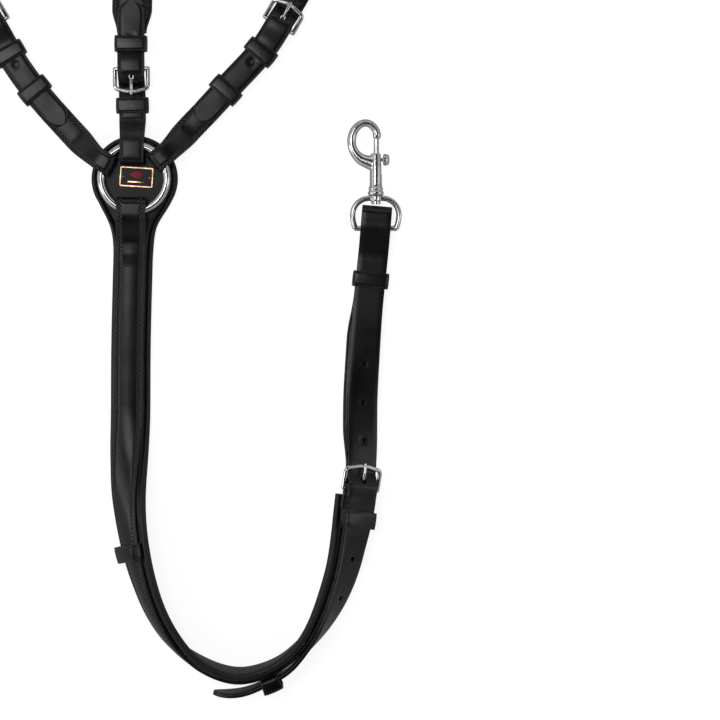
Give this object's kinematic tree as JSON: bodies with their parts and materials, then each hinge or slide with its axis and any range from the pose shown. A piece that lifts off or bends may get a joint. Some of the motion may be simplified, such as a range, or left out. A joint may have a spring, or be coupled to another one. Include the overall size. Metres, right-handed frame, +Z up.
{
  "type": "martingale",
  "caption": "Leather breast and girth straps of a riding martingale: chest ring on a padded backing, buckled shoulder and wither straps, and a looped girth strap with a swivel snap.",
  "frame": {"origin": "on the table plane, at the pad's flat back under the middle of the chest ring", "axes": "+Z up from the table out of the ring's face, +Y from the ring along the wither strap, +X to the side of the girth strap's snap"},
  "size_m": [0.3832, 0.6791, 0.0333],
  "materials": {
    "strap_leather": "black bridle leather, waxed semi-gloss, creased edges, black thread",
    "keeper_leather": "black bridle leather, semi-gloss",
    "pad_leather": "soft black leather over foam, fine grain",
    "polished_steel": "polished stainless steel",
    "spring_steel": "drawn spring wire",
    "badge_metal": "polished rose gold plate",
    "badge_enamel": "black enamel with a plain leaf motif in dull red"
  },
  "bodies": {
    "chest": {"chest_pad": "pad_leather", "chest_strap": "strap_leather", "chest_keeper": "keeper_leather", "badge_plate": "badge_metal", "badge_inlay": "badge_enamel", "badge_rivets": "badge_metal", "girth_strap": "strap_leather", "girth_keeper": "keeper_leather"},
    "ring": {"chest_ring": "polished_steel"},
    "wither_arm": {"centre_strap": "strap_leather", "centre_lower_keeper": "keeper_leather", "centre_chape": "strap_leather", "centre_pad": "pad_leather", "centre_face": "strap_leather", "centre_upper_keeper": "keeper_leather"},
    "wither_frame": {"centre_buckle_frame": "polished_steel"},
    "wither_prong": {"centre_buckle_prong": "polished_steel"},
    "wither_dee": {"centre_end_dee": "polished_steel"},
    "girth_frame": {"girth_buckle_frame": "polished_steel"},
    "girth_prong": {"girth_buckle_prong": "polished_steel"},
    "tip_loop": {"tip_keeper": "keeper_leather"},
    "snap_loop": {"snap_keeper": "keeper_leather"},
    "swivel_eye": {"snap_eye": "polished_steel"},
    "snap": {"snap_body": "polished_steel", "snap_swivel_pin": "polished_steel", "snap_spring": "spring_steel"},
    "bolt": {"snap_bolt": "polished_steel", "snap_thumb_knob": "polished_steel"},
    "left_arm": {"left_chape": "strap_leather", "left_billet": "strap_leather", "left_fixed_keeper": "keeper_leather"},
    "left_frame": {"left_buckle_frame": "polished_steel"},
    "left_prong": {"left_buckle_prong": "polished_steel"},
    "left_loop": {"left_loose_keeper": "keeper_leather"},
    "left_dee": {"left_end_dee": "polished_steel"},
    "right_arm": {"right_chape": "strap_leather", "right_billet": "strap_leather", "right_fixed_keeper": "keeper_leather"},
    "right_frame": {"right_buckle_frame": "polished_steel"},
    "right_prong": {"right_buckle_prong": "polished_steel"},
    "right_loop": {"right_loose_keeper": "keeper_leather"},
    "right_dee": {"right_end_dee": "polished_steel"}
  },
  "joints": [
    {"name": "ring_spin", "type": "hinge", "parent": "chest", "child": "ring", "pos_m": [0, 0, 0.0136], "axis": [0, 0, 1], "continuous": true},
    {"name": "left_arm_swing", "type": "hinge", "parent": "chest", "child": "left_arm", "pos_m": [0, 0, 0.0136], "axis": [0, 0, 1], "range_deg": [-1, 25]},
    {"name": "left_frame_lift", "type": "hinge", "parent": "left_arm", "child": "left_frame", "pos_m": [-0.11727, 0.12736, 0.0066], "axis": [0.8674, 0.4976, 0], "range_deg": [0, 2.5]},
    {"name": "left_prong_lift", "type": "hinge", "parent": "left_frame", "child": "left_prong", "pos_m": [-0.11727, 0.12736, 0.0066], "axis": [0.8674, 0.4976, 0], "range_deg": [0, 1.5]},
    {"name": "left_loop_slide", "type": "slide", "parent": "left_arm", "child": "left_loop", "axis": [-0.6246, 0.7809, 0], "range_m": [-0.008, 0.008]},
    {"name": "left_dee_turn", "type": "hinge", "parent": "left_arm", "child": "left_dee", "pos_m": [-0.1473, 0.1793, 0.0049], "axis": [0.867, 0.4983, 0], "range_deg": [0, 110]},
    {"name": "right_arm_swing", "type": "hinge", "parent": "chest", "child": "right_arm", "pos_m": [0, 0, 0.0136], "axis": [0, 0, 1], "range_deg": [-25, 2]},
    {"name": "right_frame_lift", "type": "hinge", "parent": "right_arm", "child": "right_frame", "pos_m": [0.12001, 0.12762, 0.0066], "axis": [0.86, -0.5103, 0], "range_deg": [0, 2.5]},
    {"name": "right_prong_lift", "type": "hinge", "parent": "right_frame", "child": "right_prong", "pos_m": [0.12001, 0.12762, 0.0066], "axis": [0.86, -0.5103, 0], "range_deg": [0, 1.5]},
    {"name": "right_loop_slide", "type": "slide", "parent": "right_arm", "child": "right_loop", "axis": [0.6712, 0.7413, 0], "range_m": [-0.008, 0.008]},
    {"name": "right_dee_turn", "type": "hinge", "parent": "right_arm", "child": "right_dee", "pos_m": [0.14951, 0.17986, 0.0049], "axis": [0.8789, -0.4771, 0], "range_deg": [0, 110]},
    {"name": "wither_arm_swing", "type": "hinge", "parent": "chest", "child": "wither_arm", "pos_m": [0, 0, 0.0136], "axis": [0, 0, 1], "range_deg": [-1.5, 1.5]},
    {"name": "wither_frame_lift", "type": "hinge", "parent": "wither_arm", "child": "wither_frame", "pos_m": [-0.00246, 0.09099, 0.00935], "axis": [-0.9998, -0.0204, 0], "range_deg": [0, 2.5]},
    {"name": "wither_prong_lift", "type": "hinge", "parent": "wither_frame", "child": "wither_prong", "pos_m": [-0.00246, 0.09099, 0.00935], "axis": [-0.9998, -0.0204, 0], "range_deg": [0, 1.5]},
    {"name": "wither_dee_turn", "type": "hinge", "parent": "wither_arm", "child": "wither_dee", "pos_m": [-0.0019, 0.23199, 0.0049], "axis": [1, 0, 0], "range_deg": [0, 110]},
    {"name": "girth_frame_lift", "type": "hinge", "parent": "chest", "child": "girth_frame", "pos_m": [0.18778, -0.25769, 0.0156], "axis": [0.9119, -0.1077, -0.396], "range_deg": [0, 2.5]},
    {"name": "girth_prong_lift", "type": "hinge", "parent": "girth_frame", "child": "girth_prong", "pos_m": [0.18778, -0.25769, 0.0156], "axis": [0.9119, -0.1077, -0.396], "range_deg": [0, 1.5]},
    {"name": "tip_loop_slide", "type": "slide", "parent": "chest", "child": "tip_loop", "axis": [0.9288, 0.3707, 0], "range_m": [-0.004, 0.001]},
    {"name": "snap_loop_slide", "type": "slide", "parent": "chest", "child": "snap_loop", "axis": [0.1053, 0.9944, 0], "range_m": [-0.006, 0.006]},
    {"name": "eye_turn", "type": "hinge", "parent": "chest", "child": "swivel_eye", "pos_m": [0.2006, -0.0415, 0.0074], "axis": [1, 0, 0], "range_deg": [0, 110]},
    {"name": "snap_swivel", "type": "hinge", "parent": "swivel_eye", "child": "snap", "pos_m": [0.2006, 0, 0.0074], "axis": [0, 1, 0], "continuous": true},
    {"name": "bolt_slide", "type": "slide", "parent": "snap", "child": "bolt", "axis": [0, -1, 0], "range_m": [0, 0.0105], "stiffness_N_per_m": 150, "springref_m": -0.004, "deforming": ["snap_spring"]}
  ]
}
